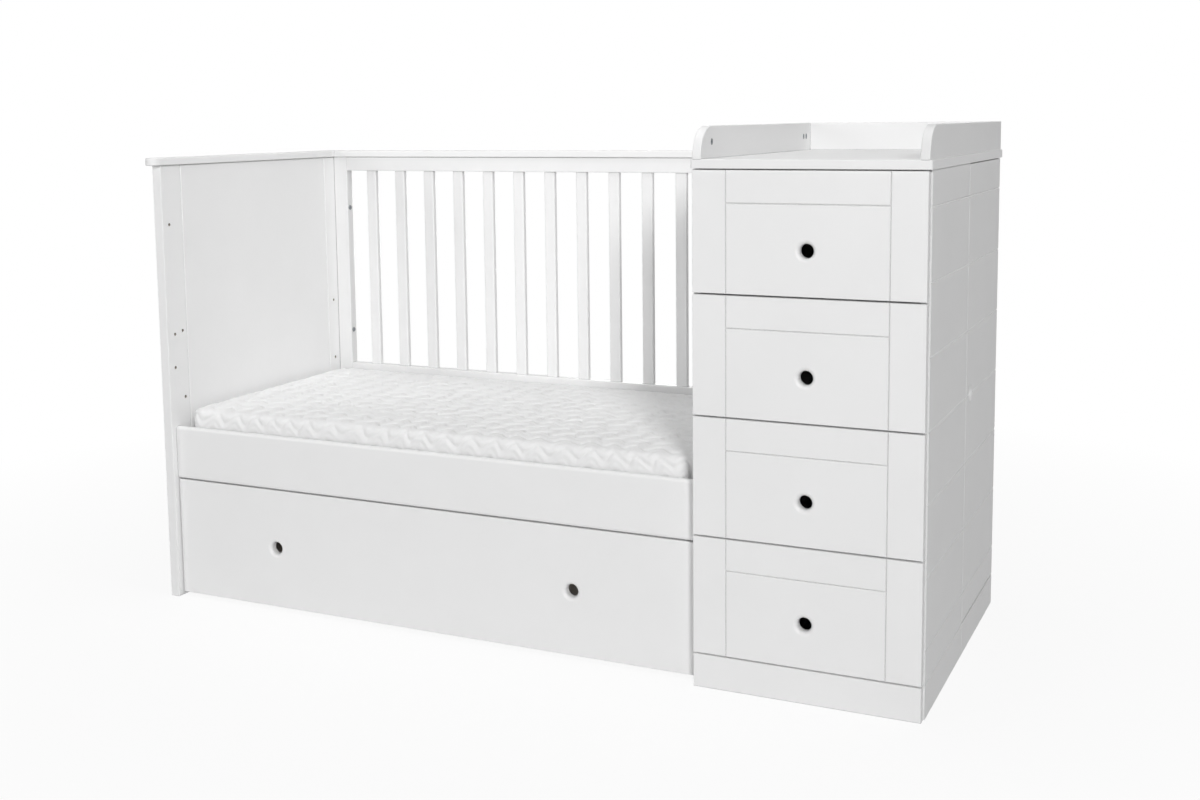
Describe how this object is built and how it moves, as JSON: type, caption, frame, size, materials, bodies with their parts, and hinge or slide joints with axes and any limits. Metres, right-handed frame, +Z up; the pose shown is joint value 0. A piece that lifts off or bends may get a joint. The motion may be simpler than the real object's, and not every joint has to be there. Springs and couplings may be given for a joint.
{
  "type": "crib with attached changer",
  "caption": "Crib with a slatted back frame, open front, mattress and under-bed drawer on castors, joined to a changing dresser with drawers, a side cupboard door and a rimmed top.",
  "frame": {"origin": "middle of the whole footprint, on the floor", "axes": "+X along the bed from the end panel to the dresser, +Y from the drawer fronts to the back, +Z up"},
  "size_m": [1.65, 0.676, 1.0105],
  "materials": {
    "lacquer": "fibreboard with a smooth satin white lacquer",
    "lining": "white melamine-faced board",
    "birch": "clear-lacquered birch plywood",
    "mattress_cover": "quilted white knitted cover over a foam core",
    "zinc": "zinc-plated steel fittings",
    "runner_enamel": "white epoxy-coated rolled steel",
    "wheel_plastic": "grey moulded polyamide"
  },
  "bodies": {
    "root": {"end_panel": "lacquer", "end_cap": "lacquer", "back_cap": "lacquer", "back_top_rail": "lacquer", "back_bottom_rail": "lacquer", "back_stile_left": "lacquer", "back_stile_right": "lacquer", "back_slats": "lacquer", "front_rail": "lacquer", "rear_rail": "lacquer", "base_frame": "lining", "base_slats": "birch", "mattress": "mattress_cover", "frame_bolts": "zinc", "dresser_side_left": "lacquer", "dresser_side_right": "lacquer", "side_plinth": "lacquer", "drawer_bay_bottom": "lining", "cupboard_bottom": "lining", "plinth": "lacquer", "top_stretchers": "lining", "divider": "lining", "dresser_back": "lacquer", "changer_top": "lacquer", "rim_left": "lacquer", "rim_right": "lacquer", "rim_back": "lacquer", "rim_cams": "zinc", "cupboard_shelves": "lining", "shelf_pins": "zinc", "hinge_plates": "zinc", "runner_rails": "runner_enamel"},
    "side_door": {"side_door": "lacquer", "hinge_cups": "zinc"},
    "bed_drawer": {"bed_drawer_front": "lacquer", "bed_drawer_sides": "lining", "bed_drawer_back": "lining", "bed_drawer_bottom": "lining", "castor_brackets": "zinc", "castor_axles": "zinc"},
    "castor_wheel_1": {"castor_wheel_1": "wheel_plastic"},
    "castor_wheel_2": {"castor_wheel_2": "wheel_plastic"},
    "castor_wheel_3": {"castor_wheel_3": "wheel_plastic"},
    "castor_wheel_4": {"castor_wheel_4": "wheel_plastic"},
    "drawer_1": {"drawer_1_front": "lacquer", "drawer_1_box": "lining", "drawer_1_bottom": "lining", "drawer_1_runners": "runner_enamel"},
    "drawer_2": {"drawer_2_front": "lacquer", "drawer_2_box": "lining", "drawer_2_bottom": "lining", "drawer_2_runners": "runner_enamel"},
    "drawer_3": {"drawer_3_front": "lacquer", "drawer_3_box": "lining", "drawer_3_bottom": "lining", "drawer_3_runners": "runner_enamel"},
    "drawer_4": {"drawer_4_front": "lacquer", "drawer_4_box": "lining", "drawer_4_bottom": "lining", "drawer_4_runners": "runner_enamel"}
  },
  "joints": [
    {"name": "drawer_1_slide", "type": "slide", "parent": "root", "child": "drawer_1", "axis": [0, -1, 0], "range_m": [0, 0.22]},
    {"name": "drawer_2_slide", "type": "slide", "parent": "root", "child": "drawer_2", "axis": [0, -1, 0], "range_m": [0, 0.22]},
    {"name": "drawer_3_slide", "type": "slide", "parent": "root", "child": "drawer_3", "axis": [0, -1, 0], "range_m": [0, 0.22]},
    {"name": "drawer_4_slide", "type": "slide", "parent": "root", "child": "drawer_4", "axis": [0, -1, 0], "range_m": [0, 0.22]},
    {"name": "bed_drawer_slide", "type": "slide", "parent": "root", "child": "bed_drawer", "axis": [0, -1, 0], "range_m": [0, 0.5]},
    {"name": "castor_wheel_1_spin", "type": "hinge", "parent": "bed_drawer", "child": "castor_wheel_1", "pos_m": [-0.727, -0.218, 0.02], "axis": [1, 0, 0], "continuous": true},
    {"name": "castor_wheel_2_spin", "type": "hinge", "parent": "bed_drawer", "child": "castor_wheel_2", "pos_m": [-0.727, 0.222, 0.02], "axis": [1, 0, 0], "continuous": true},
    {"name": "castor_wheel_3_spin", "type": "hinge", "parent": "bed_drawer", "child": "castor_wheel_3", "pos_m": [0.333, -0.218, 0.02], "axis": [1, 0, 0], "continuous": true},
    {"name": "castor_wheel_4_spin", "type": "hinge", "parent": "bed_drawer", "child": "castor_wheel_4", "pos_m": [0.333, 0.222, 0.02], "axis": [1, 0, 0], "continuous": true},
    {"name": "side_door_hinge", "type": "hinge", "parent": "root", "child": "side_door", "pos_m": [0.821, 0.336, 0.5], "axis": [0, 0, 1], "range_deg": [0, 110]}
  ],
  "couplings": [
    {"joint": "castor_wheel_1_spin", "follows": "bed_drawer_slide", "rad_per_m": 50},
    {"joint": "castor_wheel_2_spin", "follows": "bed_drawer_slide", "rad_per_m": 50},
    {"joint": "castor_wheel_3_spin", "follows": "bed_drawer_slide", "rad_per_m": 50},
    {"joint": "castor_wheel_4_spin", "follows": "bed_drawer_slide", "rad_per_m": 50}
  ]
}
